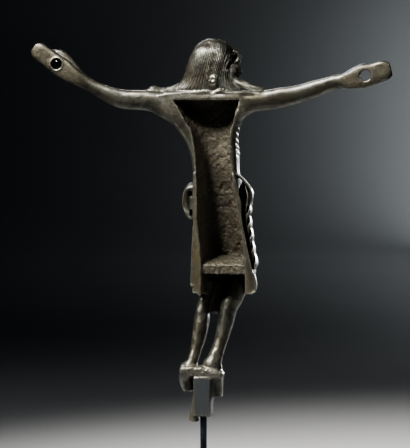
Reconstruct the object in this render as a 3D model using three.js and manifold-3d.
// A cast bronze figure made to be fixed to a cross, hollow behind, on a display rod and foot.
// Millimetres, +Z up. The origin is the middle of the foot's underside, below the rod.
// The figure is drawn in a frame of its own: x towards the figure's right hand, y forward of its flat
// back, z up from the lower end of the bracket under its feet.

import * as THREE from "three";
import { mergeVertices } from "three/addons/utils/BufferGeometryUtils.js";
import Module from "manifold-3d";

const wasm = await Module();
wasm.setup();

// Driving dimensions: the stand
const FOOT = { wide: 60, deep: 52, high: 20, bevel: 1 };
const ROD = { radius: 1.55, sides: 20, inFoot: 9, inBracket: 7 };
const SLACK = 0.3; // between the rod and the walls and ends of its two sockets
const RAISED = 62; // the bracket's lower end above the table
const ROD_TO_BACK = 3.3; // the rod stands this far in front of the figure's flat back

// Driving dimensions: the figure
const TRUNK_ROUND = 2.3; // 2 is an ellipse, more is squarer
const LEFT_SWELL = 0.4; // the left flank swells less than the right one
const HOLLOW_ROUND = 2.6;
const FIN_THICK = 2.6; // of the back edges of the cloth, where they flare at the hem
const NAIL_HOLE = 2.6; // radius
const RIBS = { count: 6, top: 140, pitch: 2.7, fall: 6, high: 0.42 };
const CLOTH_FOLDS = { count: 7, high: 1.2, sag: 8 };
const HAIR_LOCKS = 17; // ridges round the hair that hangs behind
const HEAD = { at: [3.3, 12, 168.2], yaw: -22, nod: -22, lean: 8 };
const CALF_WEB = { wide: 5, deep: 2.4, ends: 49.4 };
const PEG = { behind: 0.5, crown: 1.3, long: 3.4 }; // where it starts, its rounded end, its length

const BRONZE = { color: 0x4a4337, metalness: 0.9, roughness: 0.42 };
const IRON = { color: 0x0c0d10, metalness: 0.6, roughness: 0.25 };
const STEEL = { color: 0x1c2229, metalness: 0.8, roughness: 0.4 };
const PAINT = { color: 0x17181a, metalness: 0.2, roughness: 0.55 };

const degrees = THREE.MathUtils.degToRad;
const FORWARD = new THREE.Vector3(0, 1, 0);

// Rings of points, each closed at the ends by a fan to its middle, as one closed geometry.
function skin(rings) {
  const sides = rings[0].length;
  const middle = (ring) =>
    ring.reduce((sum, p) => sum.add(p), new THREE.Vector3()).divideScalar(sides);
  const points = [...rings.flat(), middle(rings[0]), middle(rings.at(-1))];
  const first = rings.length * sides;
  const index = [];
  for (let j = 0; j < sides; j++) {
    const next = (j + 1) % sides;
    for (let i = 0; i + 1 < rings.length; i++) {
      const [a, b] = [i * sides + j, i * sides + next];
      index.push(a, b, b + sides, a, b + sides, a + sides);
    }
    const end = (rings.length - 1) * sides;
    index.push(first, next, j, first + 1, end + j, end + next);
  }
  return new THREE.BufferGeometry().setFromPoints(points).setIndex(index);
}

// A closed geometry as a solid, turned right side out if its rings ran the other way.
function solid(geometry) {
  for (const name of ["normal", "uv"]) geometry.deleteAttribute(name);
  const merged = mergeVertices(geometry, 1e-4);
  const triVerts = new Uint32Array(merged.index.array);
  const make = () =>
    new wasm.Manifold(
      new wasm.Mesh({
        numProp: 3,
        vertProperties: merged.attributes.position.array,
        triVerts,
      }),
    );
  const made = make();
  if (made.volume() > 0) return made;
  for (let i = 0; i < triVerts.length; i += 3)
    [triVerts[i + 1], triVerts[i + 2]] = [triVerts[i + 2], triVerts[i + 1]];
  return make();
}

const join = (solids) => solids.reduce((sum, next) => sum.add(next));

// The solid as geometry for a mesh.
function geometryOf(made) {
  const mesh = made.getMesh();
  return new THREE.BufferGeometry()
    .setAttribute("position", new THREE.BufferAttribute(mesh.vertProperties, 3))
    .setIndex(new THREE.BufferAttribute(mesh.triVerts, 1));
}

// A ball of three radii, moved to its place.
function ball(x, y, z, radii, across = 12, down = 8) {
  return solid(new THREE.SphereGeometry(1, across, down).scale(...radii).translate(x, y, z));
}

// An oval section carried along a smooth line. A station is x, y, z, half its width square to the
// line in the plane of the back, and half its depth.
function limb(stations, steps, sides) {
  const line = new THREE.CatmullRomCurve3(
    stations.map(([x, y, z]) => new THREE.Vector3(x, y, z)),
  );
  const sizes = new THREE.CatmullRomCurve3(
    stations.map(([, , , across, deep = across]) => new THREE.Vector3(across, deep, 0)),
    false,
    "catmullrom",
  );
  const rings = Array.from({ length: steps + 1 }, (_, i) => {
    const at = line.getPoint(i / steps);
    const size = sizes.getPoint(i / steps);
    const along = line.getTangent(i / steps);
    const deep = FORWARD.clone().addScaledVector(along, -FORWARD.dot(along)).normalize();
    const across = new THREE.Vector3().crossVectors(along, deep);
    return Array.from({ length: sides }, (_, j) => {
      const turn = (2 * Math.PI * j) / sides;
      return at
        .clone()
        .addScaledVector(across, size.x * Math.cos(turn))
        .addScaledVector(deep, size.y * Math.sin(turn));
    });
  });
  return solid(skin(rings));
}

// The sizes of a station at any height, on a smooth line through the listed ones.
function sizesAt(stations, up) {
  const last = stations.length - 2;
  const i = THREE.MathUtils.clamp(
    stations.findIndex((s) => s.up >= up) - 1,
    0,
    last,
  );
  const [below, above] = [stations[i], stations[i + 1]];
  const t = THREE.MathUtils.clamp((up - below.up) / (above.up - below.up), 0, 1);
  const before = stations[Math.max(i - 1, 0)];
  const after = stations[Math.min(i + 2, last + 1)];
  const found = {};
  for (const key of Object.keys(below)) {
    const curve = new THREE.SplineCurve(
      [before, below, above, after].map((s, k) => new THREE.Vector2(k, s[key])),
    );
    found[key] = curve.getPoint((1 + t) / 3).y;
  }
  return found;
}

// A point of a rounded oval: x and y from -1 to 1 at a turn, squarer as round grows past 2.
function rounded(turn, round) {
  const power = 2 / round;
  const bend = (v) => Math.sign(v) * Math.abs(v) ** power;
  return [bend(Math.cos(turn)), bend(Math.sin(turn))];
}

const turns = (sides) => Array.from({ length: sides }, (_, j) => (2 * Math.PI * j) / sides);

// A point of a body's section. left and right are its edges at the flat back. swell is how much
// further out its right flank lies at its widest, axis in front of them, and front is its foremost line.
function bodyPoint({ left, right, swell, axis, front }, turn, grow = 0) {
  const [x, y] = rounded(turn, TRUNK_ROUND);
  const atBack = (right - left) / 2;
  const half = atBack + Math.max(0, swell) * (x > 0 ? 1 : LEFT_SWELL);
  const behind = (1 - (atBack / half) ** TRUNK_ROUND) ** (1 / TRUNK_ROUND);
  const back = axis / Math.max(behind, 0.35);
  return [
    (left + right) / 2 + (half + grow) * x,
    axis + (y > 0 ? front - axis + grow : back) * y,
  ];
}

// The bare trunk, from under the cloth to the shoulders.
const TRUNK = [
  { up: 96, left: -4.2, right: 18, swell: 1, axis: 7, front: 13 },
  { up: 110, left: -4.4, right: 16.4, swell: 1.3, axis: 7, front: 12.9 },
  { up: 117, left: -4.7, right: 15.2, swell: 1.5, axis: 7, front: 12.6 },
  { up: 124, left: -5.6, right: 14.7, swell: 1.8, axis: 7.5, front: 12.6 },
  { up: 130, left: -8, right: 14.4, swell: 1.6, axis: 7, front: 13.8 },
  { up: 136, left: -12.2, right: 15.4, swell: 1.2, axis: 6.6, front: 14.6 },
  { up: 141, left: -17, right: 18.2, swell: 0.4, axis: 5, front: 14.6 },
  { up: 146, left: -21.6, right: 21.5, swell: 0, axis: 4, front: 13.6 },
  { up: 154, left: -19, right: 19.6, swell: 0, axis: 3, front: 10.4 },
];

// Its ribs are ridges in the loft, on both flanks, falling as they come forward.
function trunk() {
  const sides = 24;
  const ribs = Array.from({ length: 2 * RIBS.count + 1 }, (_, i) => ({
    level: RIBS.top - (i * RIBS.pitch) / 2,
    ridge: i % 2 ? RIBS.high : -RIBS.high,
  })).reverse();
  const plain = (levels) => levels.map((level) => ({ level, ridge: 0 }));
  const rings = [...plain([96, 108, 116]), ...ribs, ...plain([144, 149, 154])];
  return solid(
    skin(
      rings.map(({ level, ridge }) => {
        const slant =
          RIBS.fall *
          THREE.MathUtils.smoothstep(level, 106, 120) *
          (1 - THREE.MathUtils.smoothstep(level, RIBS.top, 153));
        return turns(sides).map((turn) => {
          const up = level - (slant * Math.sin(turn)) / 2;
          const flank =
            THREE.MathUtils.smoothstep(Math.abs(Math.cos(turn)), 0.2, 0.6) *
            THREE.MathUtils.smoothstep(Math.sin(turn), -0.6, -0.2);
          const [x, y] = bodyPoint(sizesAt(TRUNK, up), turn, ridge * flank);
          return new THREE.Vector3(x, y, up);
        });
      }),
    ),
  );
}

// The loincloth: two rings to each fold, so that a ring lies on every ridge and every hollow.
const CLOTH = [
  { up: 52, left: -5, right: 24.4, swell: 0, axis: 3, front: 22.6 },
  { up: 62.7, left: -5.2, right: 24.3, swell: 0, axis: 3, front: 22.2 },
  { up: 70.6, left: -5.6, right: 23.8, swell: 0, axis: 3, front: 21 },
  { up: 78.5, left: -5.2, right: 22.9, swell: 0.2, axis: 4, front: 19.6 },
  { up: 86, left: -4.9, right: 21.7, swell: 0.6, axis: 5.6, front: 18.2 },
  { up: 94.4, left: -4.6, right: 20.2, swell: 1, axis: 6.6, front: 16.9 },
  { up: 103, left: -4.6, right: 18.5, swell: 1.3, axis: 7, front: 15.6 },
  { up: 110, left: -4.6, right: 16.9, swell: 1.5, axis: 7, front: 14.7 },
  { up: 116, left: -5, right: 15.6, swell: 1.5, axis: 7, front: 13.8 },
];
const HEM = { up: 59, belt: 114.5, droop: 4 };

function cloth() {
  const sides = 28;
  const count = 2 * CLOTH_FOLDS.count;
  const rings = Array.from({ length: count + 1 }, (_, i) => {
    const share = i / count; // 0 at the hem, 1 at the belt
    const ridge = i % 2 ? CLOTH_FOLDS.high : 0;
    return turns(sides).map((turn) => {
      const forward = Math.max(0, Math.sin(turn)) ** 2;
      const leftward = (1 - Math.cos(turn)) / 2;
      const sag = CLOTH_FOLDS.sag * Math.sin(Math.PI * share) + HEM.droop * (1 - share) * leftward;
      const up = THREE.MathUtils.lerp(HEM.up, HEM.belt, share) - sag * forward * (1 - share ** 4);
      const grow = ridge * THREE.MathUtils.smoothstep(Math.sin(turn), 0, 0.5);
      return new THREE.Vector3(...bodyPoint(sizesAt(CLOTH, up), turn, grow), up);
    });
  });
  return solid(skin(rings));
}

// The rolled upper edge of the cloth, round the front and down to the knot on the right hip.
function belt() {
  const stations = [-14, 0, 25, 55, 90, 125, 155, 174].map((around) => {
    const hip = Math.max(0, Math.cos(degrees(around)));
    const up = 114 - 2.5 * Math.sin(degrees(around)) - 4.5 * hip * (around > 0 ? 1 : 0.2);
    const [x, y] = bodyPoint(sizesAt(CLOTH, up), degrees(around), around > 170 ? -1 : 0);
    return [x, y, up, 1.9, 1.4];
  });
  return limb(stations, 11, 5);
}

// The fins in which the back edges of the cloth end, one at either side of the hem.
function fins() {
  const outlines = [
    [
      [20.9, 84],
      [22.4, 84],
      [24.3, 76.1],
      [25.1, 70.6],
      [26.3, 62.7],
      [25.8, 60],
      [24, 59],
      [21.6, 60.4],
      [20.7, 63],
    ],
    [
      [-0.4, 90],
      [-4.7, 90],
      [-5.4, 78.5],
      [-6, 62.7],
      [-4.6, 61],
      [-1.4, 57.6],
      [-0.6, 58.4],
    ],
  ];
  return outlines.map((outline) =>
    solid(
      new THREE.ExtrudeGeometry(new THREE.Shape(outline.map(([x, z]) => new THREE.Vector2(x, z))), {
        depth: FIN_THICK,
        bevelEnabled: false,
      })
        .rotateX(Math.PI / 2)
        .translate(0, FIN_THICK, 0),
    ),
  );
}

// The knot on the figure's right hip, and the end of cloth that falls from it in zigzag tiers.
const FALL = { top: 104, tiers: 5, pitch: 6.4, side: 19.6, spread: 0.85, fore: 8.2 };
function hipFall() {
  const parts = [
    limb(
      [
        [18.2, 9, 110.5, 1.6, 2.4],
        [20.2, 9.2, 107, 2, 3],
        [20.4, 9.2, 102, 2, 3.2],
        [20, 9, 98.5, 1.4, 2.2],
      ],
      6,
      8,
    ),
  ];
  for (let k = 0; k < FALL.tiers; k++) {
    const up = FALL.top - FALL.pitch * (k + 1);
    const out = FALL.side + FALL.spread * k;
    const wide = 2.2 + 0.25 * k;
    parts.push(
      limb(
        [
          [out - 0.4, FALL.fore + 0.4, up + FALL.pitch, 1.1, wide * 0.7],
          [out + 0.9, FALL.fore, up + 2.6, 1.2, wide],
          [out + 1.5, FALL.fore - 0.8, up - 0.6, 0.8, wide * 1.25],
          [out + 0.4, FALL.fore - 0.8, up - 1.2, 0.3, wide * 0.8],
        ],
        3,
        6,
      ),
    );
  }
  return join(parts);
}

// The ear-shaped loop of cloth on the figure's left hip, scooped out from behind.
function hipLoop() {
  return ball(-6.2, 6, 102.5, [5.1, 4.6, 8.8], 12, 8).subtract(
    ball(-6.6, 0.8, 102, [3.7, 5.2, 7.1], 12, 7),
  );
}

// The hollow in the back. left and right are its edges at the flat back.
const HOLLOW = [
  { up: 44, left: -1, right: 21.8, deep: 19.6 },
  { up: 58, left: -0.6, right: 20.9, deep: 19 },
  { up: 69, left: -0.2, right: 20.5, deep: 17 },
  { up: 78, left: -0.4, right: 20.1, deep: 15.4 },
  { up: 86, left: -1.5, right: 19.2, deep: 14.2 },
  { up: 96, left: -2.3, right: 17.6, deep: 12.8 },
  { up: 108, left: -2.5, right: 15.6, deep: 11.2 },
  { up: 119, left: -2.9, right: 13.7, deep: 9.8 },
  { up: 129, left: -3.8, right: 13, deep: 10.8 },
  { up: 136, left: -6, right: 13.7, deep: 11.6 },
  { up: 142, left: -10, right: 15.4, deep: 11.6 },
  { up: 147, left: -13, right: 16.8, deep: 10.8 },
  { up: 150.3, left: -15.4, right: 17.6, deep: 9.6 },
];

function hollow() {
  const [steps, sides] = [12, 14];
  const rings = Array.from({ length: steps + 1 }, (_, i) => {
    const up = THREE.MathUtils.lerp(HOLLOW[0].up, HOLLOW.at(-1).up, i / steps);
    const { left, right, deep } = sizesAt(HOLLOW, up);
    return turns(sides).map((turn) => {
      const [x, y] = rounded(turn, HOLLOW_ROUND);
      return new THREE.Vector3((left + right + (right - left) * x) / 2, deep * y, up);
    });
  });
  return solid(skin(rings));
}

// The bar across the hollow, at the thighs: flat behind and below, and sloping up as it goes in.
function crossBar() {
  const side = new THREE.Shape([
    new THREE.Vector2(0.9, 69.4),
    new THREE.Vector2(0.9, 74.6),
    new THREE.Vector2(3, 75.8),
    new THREE.Vector2(17.5, 79),
    new THREE.Vector2(19, 69.4),
  ]);
  return solid(
    new THREE.ExtrudeGeometry(side, { depth: 24, bevelEnabled: false })
      .rotateX(Math.PI / 2)
      .rotateZ(Math.PI / 2)
      .translate(-2.4, 0, 0),
  );
}

// The arms, from inside the chest to the wrists. out is a distance along x, to either side.
const LEFT_ARM = [
  { out: -8, fore: 6, up: 147.6, across: 6.8, deep: 6 },
  { out: -14, fore: 5.6, up: 147, across: 7.2, deep: 6 },
  { out: -19.6, fore: 5, up: 148.2, across: 6.2, deep: 5.4 },
  { out: -25.5, fore: 4.3, up: 150, across: 5, deep: 4.8 },
  { out: -32, fore: 3.9, up: 150.5, across: 4.7, deep: 4.5 },
  { out: -40, fore: 3.6, up: 151.1, across: 4.6, deep: 4.2 },
  { out: -47.2, fore: 3.2, up: 153.5, across: 3.8, deep: 3.7 },
  { out: -53.7, fore: 2.8, up: 156.7, across: 3.05, deep: 3.1 },
  { out: -59, fore: 2.6, up: 159.7, across: 3.2, deep: 2.8 },
];
const RIGHT_ARM = [
  { out: 8, fore: 6, up: 147.6, across: 6.8, deep: 6 },
  { out: 13.4, fore: 5.6, up: 147.4, across: 6.8, deep: 6 },
  { out: 18.4, fore: 5, up: 148.4, across: 5.8, deep: 5.4 },
  { out: 23, fore: 4.4, up: 149.6, across: 4.9, deep: 4.8 },
  { out: 30, fore: 3.9, up: 150.4, across: 4.6, deep: 4.5 },
  { out: 36, fore: 3.7, up: 151.3, across: 4.7, deep: 4.3 },
  { out: 45, fore: 3.3, up: 153, across: 4.2, deep: 3.8 },
  { out: 53, fore: 3, up: 155.3, across: 3.95, deep: 3.5 },
  { out: 60, fore: 2.7, up: 157.7, across: 3.3, deep: 3 },
  { out: 65.5, fore: 2.6, up: 159, across: 3.3, deep: 2.8 },
];
const arm = (stations) =>
  limb(
    stations.map((s) => [s.out, s.fore, s.up, s.across, s.deep]),
    11,
    9,
  );

// A hand in a frame of its own: x from the wrist to the finger tips, y forward, z to the thumb. Its
// back is flat, and the four fingers lie closed on the front of it.
function hand({ at, rise, side, palm, fingers, wide, tip, thumb }) {
  const end = palm + fingers;
  const parts = [
    limb(
      [
        [-2, 2.4, 0, 2.7, 2.6],
        [palm * 0.4, 2, -0.4, wide * 0.8, 2.4],
        [palm * 0.8, 1.8, -0.3, wide, 2.2],
        [palm + fingers * 0.3, 1.6, -0.1, wide * 0.92, 1.9],
        [end - 2.2, 1.5, 0, wide * tip, 1.7],
        [end, 1.6, 0.3, wide * tip * 0.6, 1.4],
      ],
      6,
      8,
    ),
    limb(
      thumb.map(([x, z, thick]) => [x, 3.4, z, thick, thick]),
      4,
      5,
    ),
  ];
  for (let k = 0; k < 4; k++) {
    const spread = wide * 0.46 * (1.5 - k) - 0.2;
    const reach = fingers * [0.88, 0.96, 0.92, 0.78][k];
    const thick = wide * 0.25;
    parts.push(
      limb(
        [
          [palm - 1, 2.9, spread, thick, 1.3],
          [palm + reach * 0.5, 2.8, spread * (0.55 + tip * 0.45), thick, 1.3],
          [palm + reach, 2.6, spread * tip, thick * 0.7, 0.9],
        ],
        2,
        5,
      ),
    );
  }
  const frame = new THREE.Matrix4()
    .makeTranslation(...at)
    .multiply(new THREE.Matrix4().makeScale(side, 1, 1))
    .multiply(new THREE.Matrix4().makeRotationY(degrees(-rise)));
  return join(parts).transform(frame.elements);
}
const LEFT_HAND = {
  at: [-57.8, 0, 158.8],
  rise: 33,
  side: -1,
  palm: 17,
  fingers: 13.2,
  wide: 4.7,
  tip: 0.66,
  thumb: [
    [2, 1, 1.6],
    [9, 3.5, 1.8],
    [14, 4.9, 1.8],
    [18.4, 5.2, 1.5],
    [22, 4, 0.8],
  ],
};
const RIGHT_HAND = {
  at: [64.7, 0, 158.6],
  rise: 13,
  side: 1,
  palm: 14,
  fingers: 10.4,
  wide: 5.3,
  tip: 0.8,
  thumb: [
    [2, 1, 1.7],
    [7, 3, 1.7],
    [11.5, 4.2, 1.5],
    [15, 4.3, 1.3],
    [18, 3.8, 0.8],
  ],
};
const LEFT_NAIL = [-71.8, 167.9];
const RIGHT_NAIL = [77.3, 161.5];

function nailHole([x, z], radius, from, to, sides = 14) {
  return solid(
    new THREE.CylinderGeometry(radius, radius, to - from, sides).translate(x, (from + to) / 2, z),
  );
}

// The head, in a frame of its own: x to its right, y to its face, z up.
const headFrame = new THREE.Matrix4()
  .makeRotationFromEuler(
    new THREE.Euler(degrees(HEAD.nod), degrees(HEAD.lean), degrees(HEAD.yaw), "ZXY"),
  )
  .setPosition(...HEAD.at);

// The skull and the plain planes of the face: half is across, back and front are along y.
const SKULL = [
  { up: -11, half: 2, back: -3, front: 7.6 },
  { up: -9, half: 4.3, back: -5, front: 9 },
  { up: -6, half: 6.3, back: -6.5, front: 8.7 },
  { up: -2.5, half: 7.5, back: -8, front: 8.4 },
  { up: 1.6, half: 8, back: -9.6, front: 7.9 },
  { up: 5, half: 8.1, back: -10, front: 8.8 },
  { up: 8.5, half: 7, back: -8.6, front: 7.4 },
  { up: 11, half: 2.6, back: -3.4, front: 3.2 },
];

function face() {
  const [steps, sides] = [8, 14];
  const rings = Array.from({ length: steps + 1 }, (_, i) => {
    const up = THREE.MathUtils.lerp(SKULL[0].up, SKULL.at(-1).up, i / steps);
    const { half, back, front } = sizesAt(SKULL, up);
    return turns(sides).map((turn) => {
      const [x, y] = rounded(turn, 2.2);
      return new THREE.Vector3(half * x, y > 0 ? front * y : -back * y, up);
    });
  });
  const parts = [
    solid(skin(rings)),
    // nose, from the brow to its tip
    limb(
      [
        [0, 8.2, 4.4, 0.9, 0.6],
        [0, 9.3, 1, 0.8, 0.9],
        [0, 10.2, -1.8, 1.2, 1.1],
        [0, 9, -2.9, 1.2, 0.5],
      ],
      4,
      6,
    ),
    // mouth
    limb(
      [
        [-2.2, 8, -5.2, 0.4, 0.5],
        [0, 8.9, -5, 0.85, 0.8],
        [2.2, 8, -5.2, 0.4, 0.5],
      ],
      4,
      6,
    ),
    // beard, in two short locks
    ...[1, -1].flatMap((side) => [
      limb(
        [
          [side * 7, 2.5, -2, 1.4, 1.6],
          [side * 6, 4.6, -6.6, 1.9, 2],
          [side * 2.6, 6.9, -10.4, 2.4, 2],
          [side * 1.6, 7, -13.6, 1, 1],
        ],
        5,
        7,
      ),
      // closed lid and brow
      ball(side * 3.2, 7.1, 1.7, [1.8, 1.3, 1.05], 8, 6),
      limb(
        [
          [side * 1, 8.5, 4.1, 0.5, 0.5],
          [side * 3.4, 8, 4.7, 0.55, 0.6],
          [side * 5.8, 6, 3.9, 0.4, 0.4],
        ],
        3,
        6,
      ),
    ]),
  ];
  return join(parts);
}

// The hair over the top of the skull: locks run from the crown, and leave the face free.
function hairCap() {
  const sides = 26;
  const rings = [6, 36, 62, 86, 106].map((down) => {
    const angle = degrees(down);
    return turns(sides).map((turn, j) => {
      const ridge = (j % 2 ? 0.3 : -0.3) * Math.min(1, down / 40);
      const face = Math.sin(turn) > 0.35 ? 1 - 0.14 * Math.min(1, down / 60) : 1;
      return new THREE.Vector3(
        (9.6 + ridge) * Math.sin(angle) * Math.cos(turn) * face,
        -0.5 + (9.9 + ridge) * Math.sin(angle) * Math.sin(turn) * face,
        0.2 + (10.4 + ridge) * Math.cos(angle),
      );
    });
  });
  return solid(skin(rings));
}

// A wavy lock that hangs beside the face, on either side. The right one hangs further out.
function sideLock(side) {
  const out = side > 0 ? 1.8 : 0;
  const stations = [
    [2.2, 6.6, 9.2, 1.6, 1.5],
    [7.2, 6.2, 6, 1.9, 1.8],
    [9.2, 3.6, 1.5, 1.9, 2.2],
    [8.8 + out * 0.3, 2.6, -2, 1.8, 2.2],
    [9.6 + out, 1.8, -5.5, 2, 2.4],
    [9.2 + out, 1.6, -9, 1.8, 2.2],
    [10, 2.6, -13, 1.6, 2],
  ].map(([x, ...rest]) => [side * x, ...rest]);
  return limb(stations, 9, 6);
}

// The hair down the back, from the crown to the flat of the shoulders, where its locks spread.
const MANTLE = [
  { up: 152, left: -19, right: 19.5, back: 1, front: 12 },
  { up: 155.6, left: -17.2, right: 18, back: 0.8, front: 13 },
  { up: 158.2, left: -13, right: 15, back: 0.8, front: 14 },
  { up: 161, left: -11, right: 13.4, back: 0.9, front: 15 },
  { up: 165, left: -9.9, right: 12.8, back: 1, front: 16 },
  { up: 169, left: -8.6, right: 12.4, back: 1.2, front: 17 },
  { up: 173, left: -7, right: 11.6, back: 2, front: 19 },
  { up: 176, left: -5, right: 10.2, back: 3.8, front: 19.6 },
  { up: 178.2, left: -1.8, right: 7.8, back: 7.4, front: 18 },
  { up: 179.2, left: 1.4, right: 4.8, back: 10.5, front: 14.5 },
];
function mantle() {
  const sides = 2 * HAIR_LOCKS;
  const levels = [152, 155, 158, 162, 167, 171.5, 175, 177.6, 179.2];
  const rings = levels.map((up) => {
    const { left, right, back, front } = sizesAt(MANTLE, up);
    const rise = THREE.MathUtils.smoothstep(179.2 - up, 0, 4);
    return turns(sides).map((turn, j) => {
      const ridge = (j % 2 ? 0.32 : -0.32) * rise;
      const [x, y] = rounded(turn, 2.3);
      return new THREE.Vector3(
        (left + right) / 2 + ((right - left) / 2 + ridge) * x,
        (back + front) / 2 + ((front - back) / 2 + ridge) * y,
        up,
      );
    });
  });
  return solid(skin(rings));
}

// Locks that lie on the shoulders, the left one with a curled end.
const SHOULDER_LOCKS = [
  [
    [-8, 8, 159, 2.6],
    [-14, 7, 155.6, 2.4],
    [-20.5, 6, 154.6, 2.1],
    [-25, 5.6, 154.9, 2.4],
    [-28.8, 5.2, 154, 1.4],
  ],
  [
    [13, 8, 159.6, 2.8],
    [18, 7, 157, 2.8],
    [23, 6, 155.2, 2.4],
    [27, 5.6, 154.6, 2],
    [29.6, 5.2, 153.8, 1.2],
  ],
];

// The small cast lug on the nape, with a pit in it.
function lug() {
  return ball(5.6, 1.6, 159.4, [2, 1.9, 3.4], 10, 8).subtract(
    ball(5.1, -0.6, 160.6, [0.7, 1.3, 0.8], 8, 6),
  );
}

// The legs, from the knees behind the hem to the heels.
const LEGS = [
  [
    [14, 15.6, 63, 4.8, 5],
    [12.4, 15.2, 57, 4.8, 5.2],
    [9.9, 14, 51.4, 4.5, 5.2],
    [8.8, 12, 44, 3.9, 4.8],
    [7.5, 9.8, 36.6, 3.2, 4],
    [6.1, 8, 31.5, 3.2, 3.4],
    [4.6, 6.2, 26.5, 4, 3.2],
    [3.8, 5.2, 21.5, 4.5, 3.4],
  ],
  [
    [0.8, 15.4, 63, 3.2, 4.6],
    [-0.9, 15, 57, 3.2, 4.8],
    [-2.5, 14, 51.4, 3.2, 5],
    [-3, 11.8, 44, 3.7, 4.7],
    [-3.9, 9.8, 36.6, 3.4, 3.9],
    [-5, 7.8, 30.5, 2.8, 3.2],
    [-5.9, 6.2, 26, 2.6, 3],
    [-6.6, 5.6, 21.5, 3, 3.1],
  ],
];

// A foot pointing down and forward on the bracket, with its toes.
function foot(middle, turn, drop, big) {
  const parts = [
    limb(
      [
        [middle, 4.6, 23.4, 3.4, 3],
        [middle + turn * 0.2, 7, 19.4, 3.9, 3.2],
        [middle + turn * 0.4, 11, 15.2 - drop * 0.6, 4, 2.6],
        [middle + turn * 0.6, 14, 12.4 - drop, 4.1, 1.8],
      ],
      5,
      8,
    ),
  ];
  for (let k = 0; k < 5; k++) {
    const x = middle + turn * 0.7 + (k - 2) * 1.65;
    const first = k === big;
    const thick = first ? 1.1 : 0.85;
    parts.push(
      limb(
        [
          [x, 12.6, 13.6 - drop, thick, 1.3],
          [x, 14.6, 11.8 - drop, thick, 1.2],
          [x, 15.8, 10.2 - drop, thick * 0.6, 0.7],
        ],
        2,
        5,
      ),
    );
  }
  return join(parts);
}

// The bracket under the feet: a flat bar behind, thick enough for the rod, and a wedge in front.
function bracket() {
  const outline = new THREE.Shape([
    new THREE.Vector2(0, 0),
    new THREE.Vector2(6.6, 0),
    new THREE.Vector2(6.6, 6),
    new THREE.Vector2(13, 9),
    new THREE.Vector2(10, 14),
    new THREE.Vector2(4, 21),
    new THREE.Vector2(0, 21),
  ]);
  return solid(
    new THREE.ExtrudeGeometry(outline, { depth: 8.4, bevelEnabled: false })
      .rotateX(Math.PI / 2)
      .rotateZ(Math.PI / 2)
      .translate(-4.4, 0, 0),
  );
}

function figure() {
  const loincloth = cloth();
  const clad = join([
    trunk(),
    loincloth,
    ...fins(),
    belt(),
    arm(LEFT_ARM),
    arm(RIGHT_ARM),
    hand(LEFT_HAND),
    hand(RIGHT_HAND),
    join([face(), hairCap(), sideLock(1), sideLock(-1)]).transform(headFrame.elements),
    mantle(),
    ...SHOULDER_LOCKS.map((stations) => limb(stations, 5, 6)),
    hipFall(),
  ]);
  const cast = join([
    clad.subtract(hollow()),
    crossBar().intersect(loincloth),
    hipLoop(),
    ...LEGS.map((stations) => limb(stations, 6, 8)),
    foot(3.4, -0.9, 1.8, 0),
    foot(-7.2, -2.6, 0, 4),
    // the web that joins the calves below the hem
    limb(
      [
        [4, 17, 62, CALF_WEB.wide, CALF_WEB.deep],
        [3.4, 15.2, 55, CALF_WEB.wide * 0.84, CALF_WEB.deep * 0.84],
        [3, 13.6, CALF_WEB.ends, CALF_WEB.wide * 0.56, CALF_WEB.deep / 2],
      ],
      2,
      6,
    ),
    bracket(),
    // the rough ledge behind the heels
    limb(
      [
        [-9.6, 3.4, 22.4, 1.5, 2],
        [-3, 3, 22, 2.6, 3],
        [3, 3, 21.2, 3.2, 3],
        [7.4, 3.4, 20, 2.6, 2.6],
      ],
      5,
      8,
    ),
    // the stub beside the bracket's lower end
    limb(
      [
        [-4.2, 4, 11, 1, 1.4],
        [-4.6, 4, 4, 1.6, 1.8],
        [-4.9, 4, -2.3, 2.2, 1.9],
      ],
      3,
      8,
    ),
    lug(),
  ]);
  const behind = solid(new THREE.BoxGeometry(240, 40, 260).translate(0, -20, 100));
  return cast
    .subtract(behind)
    .subtract(nailHole(LEFT_NAIL, NAIL_HOLE, -5, 12))
    .subtract(nailHole(RIGHT_NAIL, NAIL_HOLE, -5, 12))
    .subtract(rodSocket());
}

// The blind hole for the rod, from below the bracket.
function rodSocket() {
  const [radius, top] = [ROD.radius + SLACK, ROD.inBracket + SLACK];
  return solid(
    new THREE.CylinderGeometry(radius, radius, top + 5, ROD.sides)
      .rotateX(Math.PI / 2)
      .translate(0, ROD_TO_BACK, (top - 5) / 2),
  );
}

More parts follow.
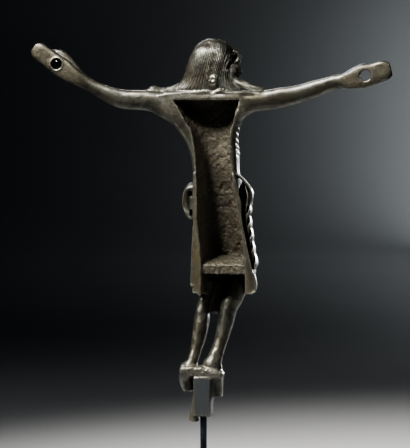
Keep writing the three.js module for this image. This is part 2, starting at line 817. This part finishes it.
// The dark peg left in the nail hole of the figure's left hand, with a rounded end behind.
function peg() {
  const radius = NAIL_HOLE - SLACK;
  const profile = [
    new THREE.Vector2(0, 0),
    ...[75, 50, 25, 0].map((rise) => {
      const angle = degrees(rise);
      return new THREE.Vector2(radius * Math.cos(angle), PEG.crown * (1 - Math.sin(angle)));
    }),
    new THREE.Vector2(radius, PEG.long),
    new THREE.Vector2(0, PEG.long),
  ];
  return new THREE.LatheGeometry(profile, 10);
}

// The block that the rod stands in, with bevelled edges and a blind hole.
function footBlock() {
  const { wide, deep, high, bevel } = FOOT;
  const plan = new THREE.Shape([
    new THREE.Vector2(-wide / 2 + bevel, -deep / 2 + bevel),
    new THREE.Vector2(wide / 2 - bevel, -deep / 2 + bevel),
    new THREE.Vector2(wide / 2 - bevel, deep / 2 - bevel),
    new THREE.Vector2(-wide / 2 + bevel, deep / 2 - bevel),
  ]);
  const block = solid(
    new THREE.ExtrudeGeometry(plan, {
      depth: high - 2 * bevel,
      bevelThickness: bevel,
      bevelSize: bevel,
      bevelSegments: 1,
    }).translate(0, 0, bevel),
  );
  const [radius, deepEnd] = [ROD.radius + SLACK, high - ROD.inFoot - SLACK];
  const hole = solid(
    new THREE.CylinderGeometry(radius, radius, high, ROD.sides)
      .rotateX(Math.PI / 2)
      .translate(0, 0, deepEnd + high / 2),
  );
  return geometryOf(block.subtract(hole));
}

function mesh(name, geometry, finish) {
  const made = new THREE.Mesh(geometry, new THREE.MeshStandardMaterial(finish));
  made.name = name;
  return made;
}

const corpus = mesh("corpus", geometryOf(figure()), BRONZE);
const nailPeg = mesh("left_hand_peg", peg(), IRON);
nailPeg.position.set(LEFT_NAIL[0], PEG.behind, LEFT_NAIL[1]);

const cast = new THREE.Group();
cast.rotation.z = Math.PI;
cast.position.set(0, ROD_TO_BACK, RAISED);
cast.add(corpus, nailPeg);

const rodFrom = FOOT.high - ROD.inFoot;
const rodTo = RAISED + ROD.inBracket;
const rod = mesh(
  "rod",
  new THREE.CylinderGeometry(ROD.radius, ROD.radius, rodTo - rodFrom, ROD.sides),
  STEEL,
);
rod.rotation.x = Math.PI / 2;
rod.position.z = (rodFrom + rodTo) / 2;

const part = new THREE.Group();
part.add(cast, rod, mesh("foot_block", footBlock(), PAINT));

export default part;
